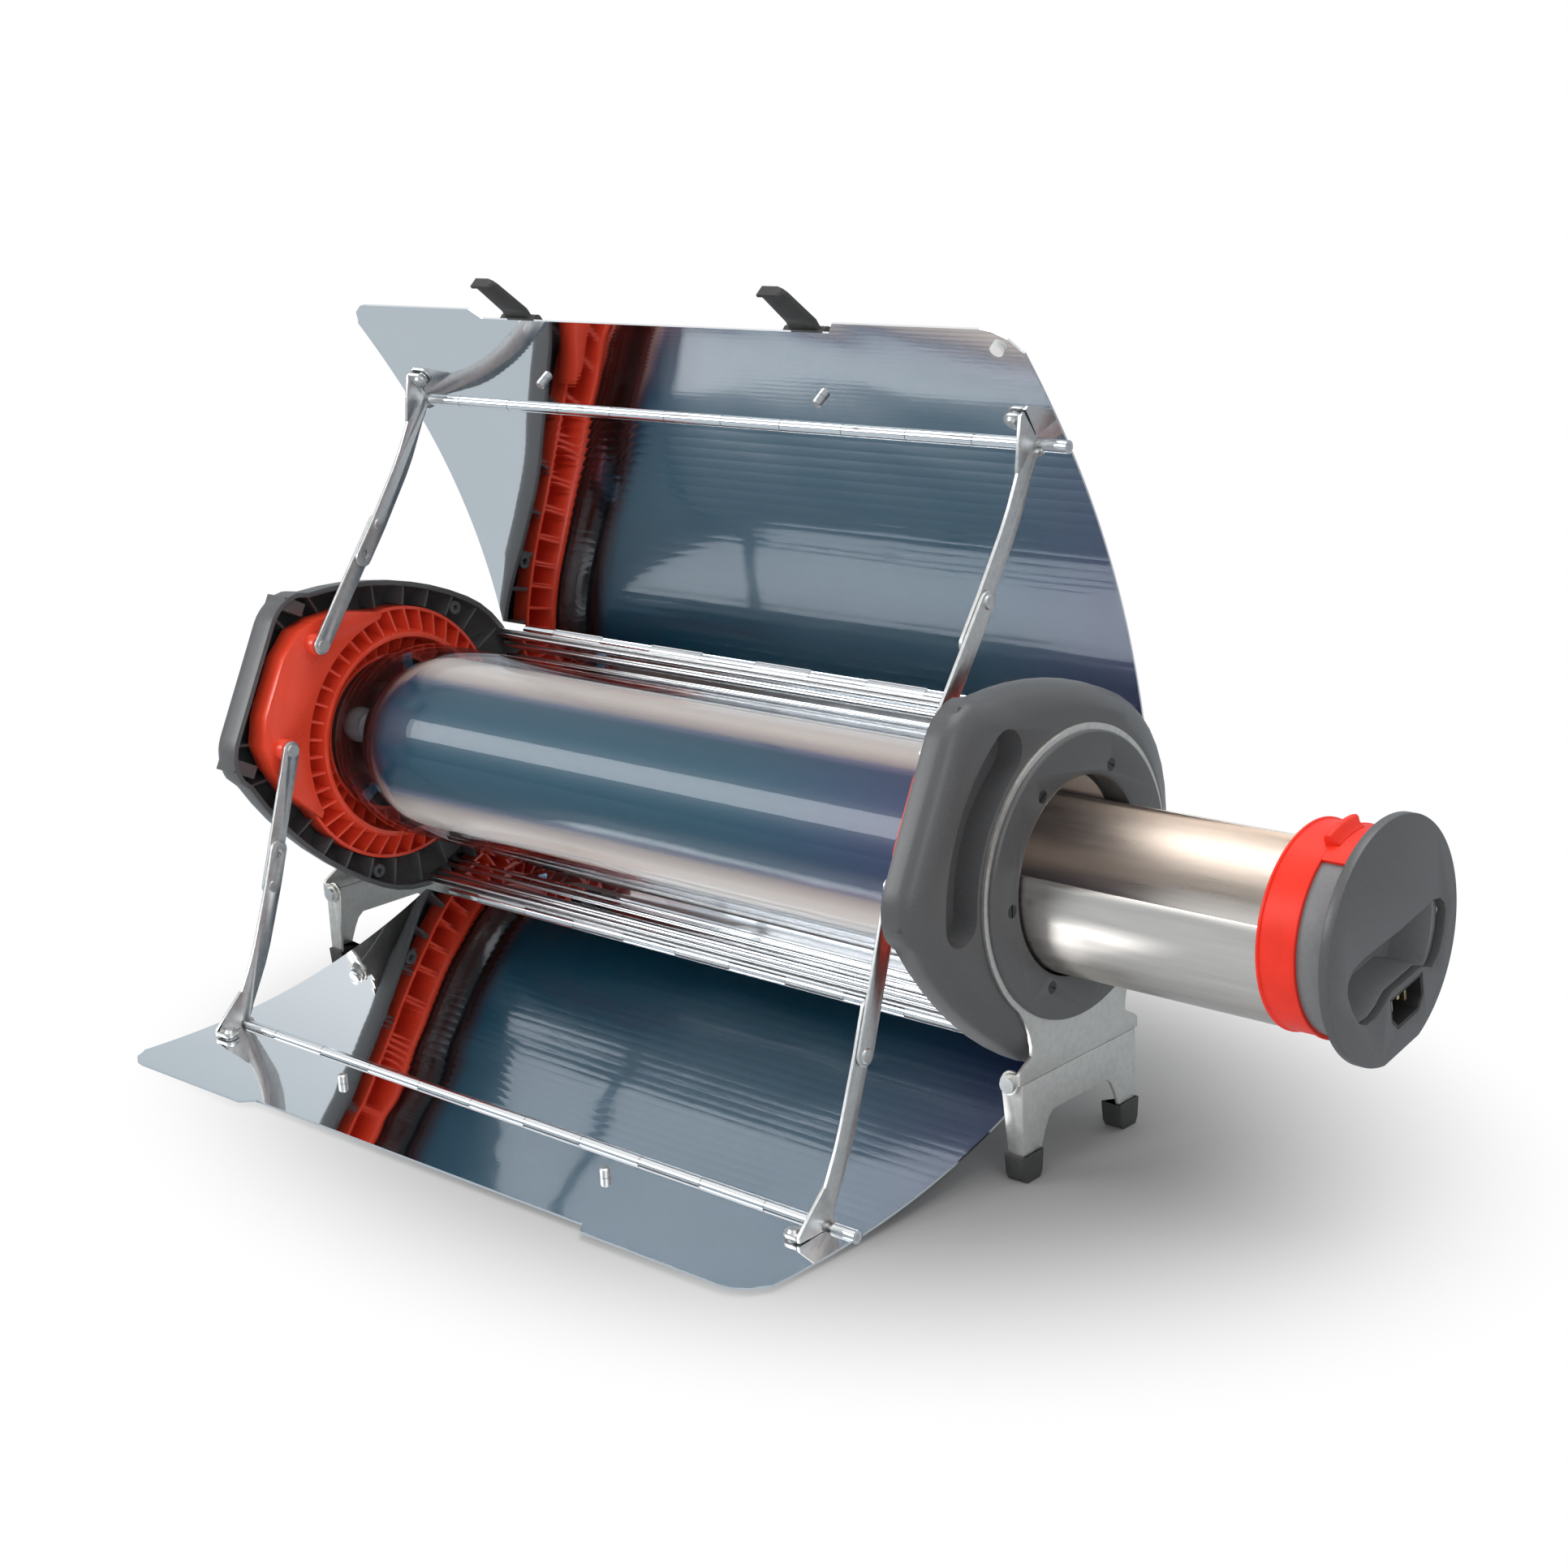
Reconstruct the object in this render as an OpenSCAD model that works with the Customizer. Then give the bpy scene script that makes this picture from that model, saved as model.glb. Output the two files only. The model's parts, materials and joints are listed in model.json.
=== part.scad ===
// Tube solar oven: glass vacuum tube between two end caps, folding mirror reflectors,
// a sliding cooking tray and two folding stands.
// X runs along the tube (tray side +X), the open reflectors face -Y, Z is up.

/* [Tube] */
// Outer radius of the outer glass
tube_r = 60; // [50:0.1:75]
// Wall of both glasses
glass_t = 2; // [1.6:0.1:2.4]
// Gap between the two glasses
glass_gap = 5; // [3:0.1:8]
// How far the dome top lies past the ends of the reflector sheets
dome_out = 32.6; // [28:0.1:34]
// How far the glass mouth lies inside the face of the mouth cap
mouth_set = 11.8; // [10:0.1:14]

/* [Reflectors] */
// Half length of the reflector sheets
panel_half = 249.4; // [200:0.1:300]
// Sheet thickness
sheet_t = 1.2; // [0.8:0.1:1.4]
// Bulge of the inner sheets over their width
inner_bulge = 8; // [6:0.5:9]
// Bulge of the outer sheets over their width
outer_bulge = 1; // [0.5:0.1:1.2]
// Depth of the recess in the outer edge
edge_recess = 7; // [4:0.5:9]
// Half length of the recess in the outer edge
recess_half = 137; // [120:1:150]
// Radius of the hinge barrels
barrel_r = 3.4; // [3:0.1:3.6]
// Radius of the hinge pins
pin_r = 1.65; // [1.4:0.05:1.8]
// Radial play of the turning fits
play = 0.05; // [0.03:0.01:0.08]

/* [Struts] */
// Width of the flat strut bars
bar_w = 11; // [9:0.5:11.5]
// Thickness of the flat strut bars
bar_t = 2; // [1.6:0.1:2]
// How far the struts stand in from the ends of the sheets
bar_inset = 16.8; // [16:0.1:18]

/* [Caps] */
// Gap between the ends of the sheets and the cap rims
cap_gap = 1; // [0.6:0.1:2]
// Depth of the mouth cap
mouth_depth = 18.4; // [17:0.1:22]
// Depth of the rear cap
rear_depth = 26.6; // [25:0.1:30]
// Wall of the caps
cap_t = 3; // [2.5:0.1:3.2]
// Number of pockets round a tube holder
pockets = 40; // [32:4:44]

/* [Stand] */
// Height of the tube axis over the floor
axis_h = 149.5; // [146:0.5:165]
// Tilt of the cooker
tilt = 26.88; // [26.6:0.01:28]
// Width of the stand ring
ring_w = 10.5; // [8:0.1:13]
// Half width over the feet
foot_y = 49; // [44:0.1:55]
// Sheet thickness of the stand
stand_t = 2; // [1.8:0.1:2]

/* [Tray] */
// Gap between the tray and the inner glass
tray_gap = 1.4; // [1.2:0.1:3]
// Sheet thickness of the tray
tray_t = 0.9; // [0.7:0.1:1.2]
// How far the tray is drawn out
tray_out = 167.5; // [60:0.5:180]
// Length of the trough
tray_len = 434; // [380:1:440]
// Roll of the tray in the tube
tray_roll = 9.5; // [0:0.5:12]
// Radius of the handle disc
disc_r = 58.9; // [56:0.1:60]

/* [Hidden] */
$fn = 72;
hinge_a = [-57, 87.2];
hinge_b = [70.4, 198.0];
elbow_c = [80.9, 113.9];
strut_d = [94.2, 32.8];
edge_e = [137.3, 232.1];
inner_r = tube_r - glass_t - glass_gap;
tray_r = inner_r - glass_t - tray_gap;
hub_r = tube_r + 6;
bore_r = inner_r - glass_t + 0.5;
ring_r = hub_r + ring_w;
rim_x = panel_half + cap_gap;
mouth_face = rim_x + mouth_depth;
rear_face = rim_x + rear_depth;
bar_x = panel_half - bar_inset;
tube_left = panel_half + dome_out - tube_r;
tube_mouth = mouth_face - mouth_set;
mouth_out = mouth_face + stand_t + 0.4;
rear_out = rear_face + stand_t + 0.4;
plug_x = mouth_out + 2.3 + tray_out;
sole = -axis_h;
seam_z = -96.4;
fold = 55.73;
arc_c = 12.5;
arc_in = 106.5;
screw_x = mouth_face - 4.8;
screw_z = -97;
knuckle_0 = 49.6 - panel_half;
knuckle_l = (2 * panel_half - 107.3) / 9;
knuckle_end = panel_half - 21.4;
cover_end = rear_out + 29;
link_x = bar_x - 1.4;
disc_t = 5;
centre_x = (plug_x + disc_t - cover_end) / 2;
front_y = -edge_e[0] * cos(tilt) - edge_e[1] * sin(tilt);
rear_y = 20 * cos(tilt) + 18 * sin(tilt) + 79;
centre_y = (front_y + rear_y) / 2;

charcoal = [0.27, 0.28, 0.29];
red = [0.85, 0.22, 0.15];
alu = [0.78, 0.79, 0.80];
mirror_c = [0.80, 0.83, 0.87];
black = [0.08, 0.08, 0.08];

// frames
module place() {
    translate([-centre_x, -centre_y, axis_h]) children();
}

module cooker() {
    place() rotate([-tilt, 0, 0]) children();
}

module tray_frame() {
    place() rotate([tray_roll, 0, 0]) children();
}

module lower() {
    mirror([0, 0, 1]) children();
}

// shape helpers: a point in the cooker frame is [forward, up]
function yz(p) = [-p[0], p[1]];
function along(p, q, d) = p + d * (q - p) / norm(q - p);
function turn(v) = [-v[1], v[0]];
function unit(p, q) = (q - p) / norm(q - p);
function arc_r(len, sag) = (len * len / 4 + sag * sag) / (2 * sag);

// points of a bulged line from p to q, moved outward by d
function bow(p, q, sag, d, n = 24) =
    let (len = norm(q - p), r = arc_r(len, sag), u = unit(p, q), v = turn(u),
        m = (p + q) / 2 + (sag - r) * v, a = asin(len / 2 / r))
    [for (i = [0 : n]) let (b = a * (2 * i / n - 1)) m + (r + d) * (sin(b) * u + cos(b) * v)];

function flip(list) = [for (i = [len(list) - 1 : -1 : 0]) list[i]];

module xex(x0, x1) {
    translate([x0, 0, 0]) rotate([90, 0, 90]) linear_extrude(x1 - x0) children();
}

module xcyl(x0, x1, r, p = [0, 0]) {
    translate([x0, -p[0], p[1]]) rotate([0, 90, 0]) cylinder(r = r, h = x1 - x0);
}

module xring(x0, x1, r_in, r_out) {
    difference() {
        xcyl(x0, x1, r_out);
        xcyl(x0 - 1, x1 + 1, r_in);
    }
}

// revolve a profile of [radius, x] about the tube axis
module xrev(points) {
    rotate([0, 90, 0]) rotate_extrude($fn = 144) polygon(points);
}

module bowed_sheet(p, q, sag, x0, x1) {
    xex(x0, x1)
        polygon([for (c = concat(bow(p, q, sag, 0), flip(bow(p, q, sag, sheet_t)))) yz(c)]);
}

// glass tube
module outer_glass() {
    cooker() color([0.8, 0.9, 0.95, 0.3]) {
        difference() {
            union() {
                xcyl(-tube_left, tube_mouth, tube_r, $fn = 144);
                translate([-tube_left, 0, 0]) rotate([0, 90, 0]) sphere(r = tube_r, $fn = 144);
                xcyl(-tube_left - tube_r - 8, -tube_left - tube_r + 2, 5.5);
            }
            xcyl(-tube_left, tube_mouth + 1, tube_r - glass_t, $fn = 144);
            translate([-tube_left, 0, 0]) rotate([0, 90, 0]) sphere(r = tube_r - glass_t, $fn = 144);
        }
        xring(tube_mouth - 5, tube_mouth, inner_r, tube_r - glass_t);
    }
}

module inner_glass() {
    cooker() color([0.12, 0.2, 0.3]) difference() {
        union() {
            xcyl(-tube_left + 16, tube_mouth, inner_r, $fn = 144);
            translate([-tube_left + 16, 0, 0]) rotate([0, 90, 0]) sphere(r = inner_r, $fn = 144);
        }
        xcyl(-tube_left + 16, tube_mouth + 1, inner_r - glass_t, $fn = 144);
        translate([-tube_left + 16, 0, 0]) rotate([0, 90, 0])
            sphere(r = inner_r - glass_t, $fn = 144);
    }
}

module tip_cap() {
    cooker() color([0.8, 0.85, 0.88, 0.5]) difference() {
        union() {
            translate([-tube_left - tube_r - 10.5, 0, 0]) rotate([0, 90, 0]) sphere(r = 11.5);
            xcyl(-tube_left - tube_r - 10.5, -tube_left - tube_r - 2, 9);
        }
        xcyl(-tube_left - tube_r - 8, -tube_left - tube_r + 2, 5.5);
        translate([-tube_left, 0, 0]) rotate([0, 90, 0]) sphere(r = tube_r, $fn = 144);
    }
}

// spring clips between the two glass domes
module getter_clips() {
    cooker() color([0.3, 0.45, 0.6]) for (a = [30 : 120 : 270]) rotate([a, 0, 0])
        difference() {
            translate([-tube_left - 36, -4, tube_r - 26]) cube([22, 8, 20]);
            translate([-tube_left + 16, 0, 0]) rotate([0, 90, 0]) sphere(r = inner_r, $fn = 144);
            difference() {
                translate([-tube_left - 60, -6, -tube_r - 10]) cube([80, 12, 2 * tube_r + 20]);
                translate([-tube_left, 0, 0]) rotate([0, 90, 0])
                    sphere(r = tube_r - glass_t, $fn = 144);
            }
            translate([-tube_left - 70, -6, 30]) cube([44, 12, tube_r - 20]);
        }
}

module mouth_seal() {
    cooker() color(black) xring(tube_mouth, tube_mouth + 2, inner_r - glass_t, tube_r);
}

// end caps
function arc(c, r, a0, a1, n) =
    [for (i = [0 : n]) let (a = a0 + (a1 - a0) * i / n) c + r * [cos(a), sin(a)]];
function rim_half(d) = concat(
    arc([94, 36.5], tube_r - 32 + d, 0, 56, 6),
    arc([-20, -133], tube_r + 170 + d, 58, 90, 8),
    arc([-20, 18], tube_r + 19 + d, 99, 180, 9));
function face_half(d) = concat(
    arc([90, 34], tube_r - 40 + d, 0, 56, 6),
    arc([-12, -72], tube_r + 96 + d, 56, 88, 8),
    arc([0, 0], tube_r + 20 + d, 99, 167, 9));
function whole(h) = concat(h, [for (i = [len(h) - 1 : -1 : 0]) [h[i][0], -h[i][1]]]);
function share(p, wf, wr) = let (k = (1 + p[0] / norm(p)) / 2) wr + (wf - wr) * k;
function outline(wf, wr, d) = let (p = whole(rim_half(d)), q = whole(face_half(d)))
    [for (i = [0 : len(p) - 1]) let (w = share(p[i], wf, wr)) p[i] * (1 - w) + q[i] * w];

// [share of the depth, way to the face outline in front, at the rear]
taper = [[0, 0, 0], [0.2, 0, 0.06], [0.45, 0, 0.34], [0.63, 0.06, 0.58], [0.8, 0.3, 0.79],
    [0.92, 0.62, 0.93], [1, 1, 1]];

// solid through outlines at rising x
module loft(x0, deep, d, more = 0) {
    rings = [for (s = taper) outline(s[1], s[2], d)];
    n = len(rings[0]);
    m = len(taper);
    pts = [for (i = [0 : m - 1]) for (p = rings[i])
        [x0 + taper[i][0] * deep + (i == 0 ? -more : i == m - 1 ? more : 0), -p[0], p[1]]];
    ends = [[for (j = [n - 1 : -1 : 0]) j], [for (j = [0 : n - 1]) (m - 1) * n + j]];
    sides = [for (i = [0 : m - 2]) for (j = [0 : n - 1]) let (k = (j + 1) % n)
        for (t = [[i * n + j, i * n + k, (i + 1) * n + k],
            [i * n + j, (i + 1) * n + k, (i + 1) * n + j]]) t];
    polyhedron(points = pts, faces = concat(ends, sides));
}

// ring sector with round ends, the outline of the carry pocket
function grip_line(r0, r1, a = 27.5) = let (m = (r0 + r1) / 2, h = (r1 - r0) / 2)
    concat(arc([0, 0], r1, -a, a, 12), arc(m * [cos(a), sin(a)], h, a + 20, a + 160, 7),
        arc([0, 0], r0, a, -a, 12), arc(m * [cos(a), -sin(a)], h, 200 - a, 340 - a, 7));

module grip(r0, r1, x0, x1) {
    xex(x0, x1) polygon([for (c = grip_line(r0, r1)) yz(c)]);
}

// one cap drawn on the +X side: outer face, end and start of the hub, bore, carry pocket
module cap(face, out, hub_x, bore, with_grip) {
    deep = face - rim_x;
    difference() {
        union() {
            difference() {
                loft(rim_x, deep, 0);
                difference() {
                    intersection() {
                        loft(rim_x, deep - cap_t, -cap_t, 1);
                        translate([rim_x - 2, -150, -150]) cube([deep - cap_t + 2, 300, 300]);
                    }
                    for (i = [0 : 27]) cap_rib(i * 360 / 28 + 6, deep);
                    if (with_grip) grip(tube_r + 16.5, tube_r + 45.5, rim_x + 1.6, face);
                }
            }
            xcyl(hub_x, out, hub_r);
        }
        if (with_grip) grip(tube_r + 19, tube_r + 43, rim_x + 4, face + 1);
        xcyl(rim_x - 2, out + 1, bore);
        screw_ring(tube_r - 2.5, 6, 30) xcyl(out - 6, out + 1, 1.6, $fn = 36);
    }
    for (s = [-1, 1]) difference() {
        xcyl(rim_x + 2, rim_x + 0.45 * deep, 4.2, [-15, s * (tube_r + 27.5)]);
        xcyl(rim_x + 1, rim_x + 0.4 * deep, 1.8, [-15, s * (tube_r + 27.5)]);
    }
    for (s = [-1, 1]) translate([rim_x + 1, -tube_r - 56.5, s * 51 - 4]) cube([deep - 9, 15.5, 8]);
}

// radial rib inside a cap, a measured from the rear
module cap_rib(a, deep) {
    x = (cos(a) < -0.4) ? 8.4 : 3.5;
    rotate([a, 0, 0]) translate([rim_x + x, tube_r + 21.2, -0.8]) cube([deep, 50, 1.6]);
}

module cap_mouth() {
    cooker() color(charcoal) cap(mouth_face, mouth_out, tube_mouth + 2, bore_r, true);
}

module cap_rear() {
    cooker() color(charcoal) mirror([1, 0, 0])
        cap(rear_face, rear_out, rear_face - cap_t / 2, tube_r - 26, false);
}

// red tube holder on the +X side: ribbed ring and front plate
module holder(back, seat) {
    r = tube_r;
    crest = rim_x - 4.4;
    edge = rim_x + 3.6;
    neck = rim_x + 0.7 * (back - rim_x);
    lean = 6.2 / (back - neck);
    xrev([[r + 18.4, edge], [r + 20.4, edge], [r + 20.4, neck], [r + 14.2, back], [r + 12.2, back],
        [r + 18.4, neck]]);
    difference() {
        xrev([[r, crest + 8], [r + 2, crest], [r + 5, crest], [r + 6.5, crest + 6], [r + 6.5, back],
            [r, back]]);
        if (seat) xcyl(crest + 10, back + 1, r + 2.4);
    }
    xrev([[r + 6, back - 3], [r + 13.2 + 3 * lean, back - 3], [r + 13.2, back], [r + 6, back]]);
    for (i = [0 : pockets - 1]) rotate([i * 360 / pockets, 0, 0]) intersection() {
        translate([crest, r + 4, -0.8]) cube([40, 16, 1.6]);
        xrev([[r + 5.5, crest + 1.5], [r + 19.2, edge + 0.5], [r + 19.2, neck], [r + 13.5, back - 1],
            [r + 5.5, back - 1]]);
    }
    difference() {
        union() {
            xex(rim_x - 8.4, rim_x + 8) front_plate(0);
            for (s = [-1, 1])
                xcyl(bar_x + bar_t + 0.2, rim_x - 8, 6.5, [strut_d[0], s * strut_d[1]]);
        }
        xex(rim_x - 5.9, rim_x + 9) difference() {
            front_plate(2.5);
            circle(r = r + 22.4);
        }
        xcyl(rim_x - 20, rim_x + 9, r + 19.6);
        for (s = [-1, 1]) xcyl(bar_x, rim_x, 2, [strut_d[0], s * strut_d[1]]);
    }
    if (seat) {
        xring(back - 2, back, r - 12, r + 3);
        for (i = [0 : 35]) rotate([i * 10 + 5, 0, 0]) intersection() {
            translate([crest, r - 11, -0.6]) cube([40, 14.4, 1.2]);
            xrev([[r - 11.4, back - 12.5], [r + 3.8, back - 17], [r + 3.8, back - 0.7],
                [r - 11.4, back - 0.7]]);
        }
        xring(back - 13, back - 1, r - 12, r - 10);
    }
}

module front_plate(d) {
    polygon([[-112 + d, -18], [-107 + d, -36 + d / 2], [-96 + d, -47 + d], [-78 + d / 2, -58 + d],
        [-50, -66 + d], [-50, 66 - d], [-78 + d / 2, 58 - d], [-96 + d, 47 - d],
        [-107 + d, 36 - d / 2], [-112 + d, 18]]);
}

module tube_holder_right() {
    cooker() color(red) difference() {
        holder(mouth_face - cap_t, false);
        xcyl(tube_mouth + 2, mouth_face, hub_r + 0.6);
        grip(tube_r + 16.2, tube_r + 45.8, rim_x + 1.4, mouth_face);
    }
}

module tube_holder_left() {
    cooker() color(red) mirror([1, 0, 0]) holder(rear_face - cap_t, true);
}

module dome_cushion() {
    cooker() color(black) difference() {
        xrev([[tube_r - 12.2, cap_t - rear_face], [tube_r - 12.2, -tube_left - 0.6 * tube_r],
            [tube_r - 20, -tube_left - 0.6 * tube_r], [tube_r - 30, cap_t - rear_face]]);
        translate([-tube_left, 0, 0]) rotate([0, 90, 0]) sphere(r = tube_r, $fn = 144);
    }
}

// rings that hold the stand plates
module screw_ring(r, n, a0) {
    for (i = [0 : n - 1]) rotate([a0 + i * 360 / n, 0, 0]) translate([0, -r, 0]) children();
}

module mouth_ring() {
    cooker() color(charcoal) difference() {
        xrev([[bore_r - 0.5, mouth_out], [hub_r + 7.3, mouth_out], [hub_r + 7.3, mouth_out + 1.2],
            [hub_r + 6.3, mouth_out + 2.2], [bore_r + 1.5, mouth_out + 2.2],
            [bore_r - 0.5, mouth_out + 1.2]]);
        screw_holes(mouth_out);
    }
}

module screw_holes(out) {
    screw_ring(tube_r - 2.5, 6, 30) {
        xcyl(out - 1, out + 3, 1.6, $fn = 36);
        xcyl(out + 0.8, out + 4, 3.4, $fn = 36);
    }
}

module slotted_screws(out) {
    screw_ring(tube_r - 2.5, 6, 30) difference() {
        union() {
            xcyl(out + 0.8, out + 2.1, 3.4, $fn = 36);
            xcyl(out - 4.8, out + 0.8, 1.6, $fn = 36);
        }
        translate([out + 1.3, -0.5, -5]) cube([3, 1, 10]);
    }
}

module mouth_screws() {
    cooker() color(black) slotted_screws(mouth_out);
}

module rear_cover() {
    cooker() color(charcoal) mirror([1, 0, 0]) difference() {
        xrev([[0, cover_end - 2.4], [tube_r - 40, cover_end - 3.6], [tube_r - 30, cover_end - 7],
            [tube_r - 19, cover_end - 16], [tube_r - 13, rear_out], [hub_r + 7.3, rear_out],
            [hub_r + 7.3, rear_out + 1.2], [hub_r + 6.3, rear_out + 2.4],
            [tube_r - 10.5, rear_out + 2.4], [tube_r - 17, cover_end - 13.5],
            [tube_r - 29, cover_end - 4], [tube_r - 40, cover_end - 1], [0, cover_end]]);
        screw_holes(rear_out);
    }
}

module rear_screws() {
    cooker() color(black) mirror([1, 0, 0]) slotted_screws(rear_out);
}

// fixed reflector and hinge rails
module arc_band(x0, x1, r0, r1, a0, a1) {
    xex(x0, x1) polygon([for (c = concat(arc([arc_c, 0], r0, a0, a1, 24),
        flip(arc([arc_c, 0], r1, a0, a1, 24)))) yz(c)]);
}

module rear_reflector() {
    cooker() color(mirror_c)
        arc_band(-rim_x - 3.5, rim_x + 3.5, arc_in, arc_in + 1, 130, 230);
}

module knuckles(first, p, r) {
    for (i = [first : 2 : 9]) {
        x0 = (i == 0) ? -knuckle_end : knuckle_0 + (i - 1) * knuckle_l;
        x1 = knuckle_0 + i * knuckle_l;
        xcyl(x0 + 0.2, x1 - 0.2, r, p);
    }
    if (first == 0) xcyl(knuckle_0 + 9 * knuckle_l + 0.2, knuckle_end, r, p);
}

module body_rail() {
    a = hinge_a;
    difference() {
        union() {
            knuckles(1, a, 3.2);
            arc_band(-panel_half, panel_half, arc_in + 1, arc_in + 2.5, 127.6, 142);
        }
        for (i = [0 : 2 : 10]) {
            x0 = (i == 0) ? -panel_half - 20 : knuckle_0 + (i - 1) * knuckle_l;
            x1 = (i == 10) ? panel_half + 20 : knuckle_0 + i * knuckle_l;
            xcyl(x0 - 0.2, x1 + 0.2, 4, a);
        }
    }
    xcyl(-knuckle_end, knuckle_end, 1.2, a);
}

module body_rail_upper() {
    cooker() color(alu) body_rail();
}

module body_rail_lower() {
    cooker() color(alu) lower() body_rail();
}

// folding reflectors
module inner_panel() {
    a = hinge_a;
    b = hinge_b;
    difference() {
        union() {
            bowed_sheet(a, b, inner_bulge, -panel_half, panel_half);
            knuckles(0, a, 3.2);
            knuckles(0, b, barrel_r);
        }
        for (i = [1 : 2 : 9]) {
            x0 = knuckle_0 + (i - 1) * knuckle_l;
            x1 = knuckle_0 + i * knuckle_l;
            xcyl(x0 - 0.2, x1 + 0.2, 4, a);
            xcyl(x0 - 0.2, x1 + 0.2, barrel_r + 0.6, b);
        }
        for (s = [-1, 1]) {
            xcyl(s * (knuckle_end + 11) - 11, s * (knuckle_end + 11) + 11, barrel_r + 0.6, b);
            xcyl(s * (knuckle_end + 11) - 11, s * (knuckle_end + 11) + 11, 4, a);
            xcyl(s * link_x - 1.4, s * link_x + 1.4, bar_w / 2 + 0.4, b);
        }
        xcyl(-panel_half - 10, panel_half + 10, 1.2 + play, a);
        xcyl(-panel_half - 10, panel_half + 10, pin_r, b);
    }
}

module hinge_pin() {
    xcyl(-panel_half, panel_half, pin_r, hinge_b, $fn = 36);
}

module outer_panel() {
    b = hinge_b;
    e = edge_e;
    u = unit(b, e);
    difference() {
        union() {
            bowed_sheet(b, e, outer_bulge, -panel_half, panel_half);
            knuckles(1, b, barrel_r);
            for (s = [-1, 1]) xcyl(s * (panel_half - 7) - 7, s * (panel_half - 7) + 7, barrel_r, b);
        }
        for (i = [0 : 2 : 10]) {
            x0 = (i == 0) ? -knuckle_end : knuckle_0 + (i - 1) * knuckle_l;
            x1 = (i == 10) ? knuckle_end : knuckle_0 + i * knuckle_l;
            xcyl(x0 - 0.2, x1 + 0.2, barrel_r + 0.6, b);
        }
        for (s = [-1, 1]) {
            xcyl(s * (knuckle_end + 3.6) - 3.8, s * (knuckle_end + 3.6) + 3.8, barrel_r + 0.6, b);
            xcyl(s * link_x - 1.4, s * link_x + 1.4, bar_w / 2 + 0.4, b);
        }
        xcyl(-panel_half - 10, panel_half + 10, pin_r + play, b);
        edge_cut();
    }
}

// recess and corner cuts of the outer edge, seen along the sheet
module edge_cut() {
    b = hinge_b;
    w = norm(edge_e - hinge_b);
    a = atan2(edge_e[1] - b[1], edge_e[0] - b[0]);
    translate([0, -b[0], b[1]]) rotate([-a, 0, 0]) translate([0, 0, -20]) linear_extrude(40) {
        polygon([[-recess_half - 5, -w - 5], [-recess_half, -w], [6 - recess_half, -w + edge_recess],
            [recess_half - 6, -w + edge_recess], [recess_half, -w], [recess_half + 5, -w - 5]]);
        for (s = [-1, 1]) polygon([[s * (panel_half + 1), -w + 16], [s * (panel_half - 2), -w + 13],
            [s * (panel_half - 6), -w + 6], [s * (panel_half - 13), -w + 1.4],
            [s * (panel_half - 24), -w - 1], [s * (panel_half + 1), -w - 1]]);
    }
}

// point on the mirror side of the outer sheet, d along it and h off it
function on_outer(d, h) = let (u = unit(hinge_b, edge_e)) hinge_b + d * u - h * turn(u);

module bar(p, q, x0) {
    u = unit(p, q);
    v = turn(u) * bar_w / 2;
    xex(x0, x0 + bar_t) {
        polygon([for (c = [p + v, q + v, q - v, p - v]) yz(c)]);
        translate(yz(p)) circle(d = bar_w);
        translate(yz(q)) circle(d = bar_w);
    }
}

// bar on the +X side: from past the elbow to the outer sheet, bent clear of the inner sheet
bend = [[0, 0], [6, -3.2], [12, -4.3], [18, -3.5], [26, -2.3], [38, -0.7], [50, 0], [84.75, 0]];

module link() {
    x0 = link_x - bar_t / 2;
    u = unit(hinge_b, elbow_c);
    v = turn(u);
    tail = along(elbow_c, strut_d, 22.5);
    difference() {
        union() {
            xex(x0, x0 + bar_t) {
                polygon([for (c = concat([for (e = bend) hinge_b + e[0] * u - (e[1] + bar_w / 2) * v],
                    flip([for (e = bend) hinge_b + e[0] * u - (e[1] - bar_w / 2) * v]))) yz(c)]);
                translate(yz(hinge_b)) circle(d = bar_w);
                polygon([for (c = [on_outer(2, -2), on_outer(22, -2), on_outer(22, 3),
                    on_outer(15, 10), on_outer(2, 22), on_outer(0, 5)]) yz(c)]);
            }
            bar(elbow_c, tail, x0);
        }
        difference() {
            xex(x0 - 1, x0 + 4) polygon([for (c = [on_outer(-30, 0), on_outer(40, 0),
                on_outer(40, -20), on_outer(-30, -20)]) yz(c)]);
            xcyl(x0 - 1, x0 + 4, bar_w / 2, hinge_b);
        }
        difference() {
            closed_inner() xex(x0 - 1, x0 + 4) polygon([for (c = concat(
                bow(hinge_a, hinge_b, inner_bulge, -0.5), flip(bow(hinge_a, hinge_b, inner_bulge, 14))))
                yz(c)]);
            xcyl(x0 - 1, x0 + 4, bar_w / 2, hinge_b);
        }
        xcyl(x0 - 1, x0 + 5, pin_r + play, hinge_b);
        xcyl(x0 - 1, x0 + 5, 1.8, along(elbow_c, strut_d, 19.5));
    }
    xcyl(x0 - 1.2, x0, 3.6, elbow_c);
    link_tab(x0);
}

// the inner sheet as the outer sheet meets it when folded
module closed_inner() {
    translate([0, -hinge_b[0], hinge_b[1]]) rotate([-fold, 0, 0])
        translate([0, hinge_b[0], -hinge_b[1]]) children();
}

module link_tab(x0) {
    on_edge(17, 0) difference() {
        union() {
            translate([x0 - 6, -5, -2.6]) cube([8, 10, 2]);
            translate([x0 - 6, 0, -2.6]) cylinder(r = 5, h = 2);
            translate([x0 - 6, 0, -1]) cylinder(r = 3.2, h = 1.6);
        }
        translate([x0 - 6, 0, -4]) cylinder(r = 1.6, h = 6, $fn = 36);
    }
}

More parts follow.
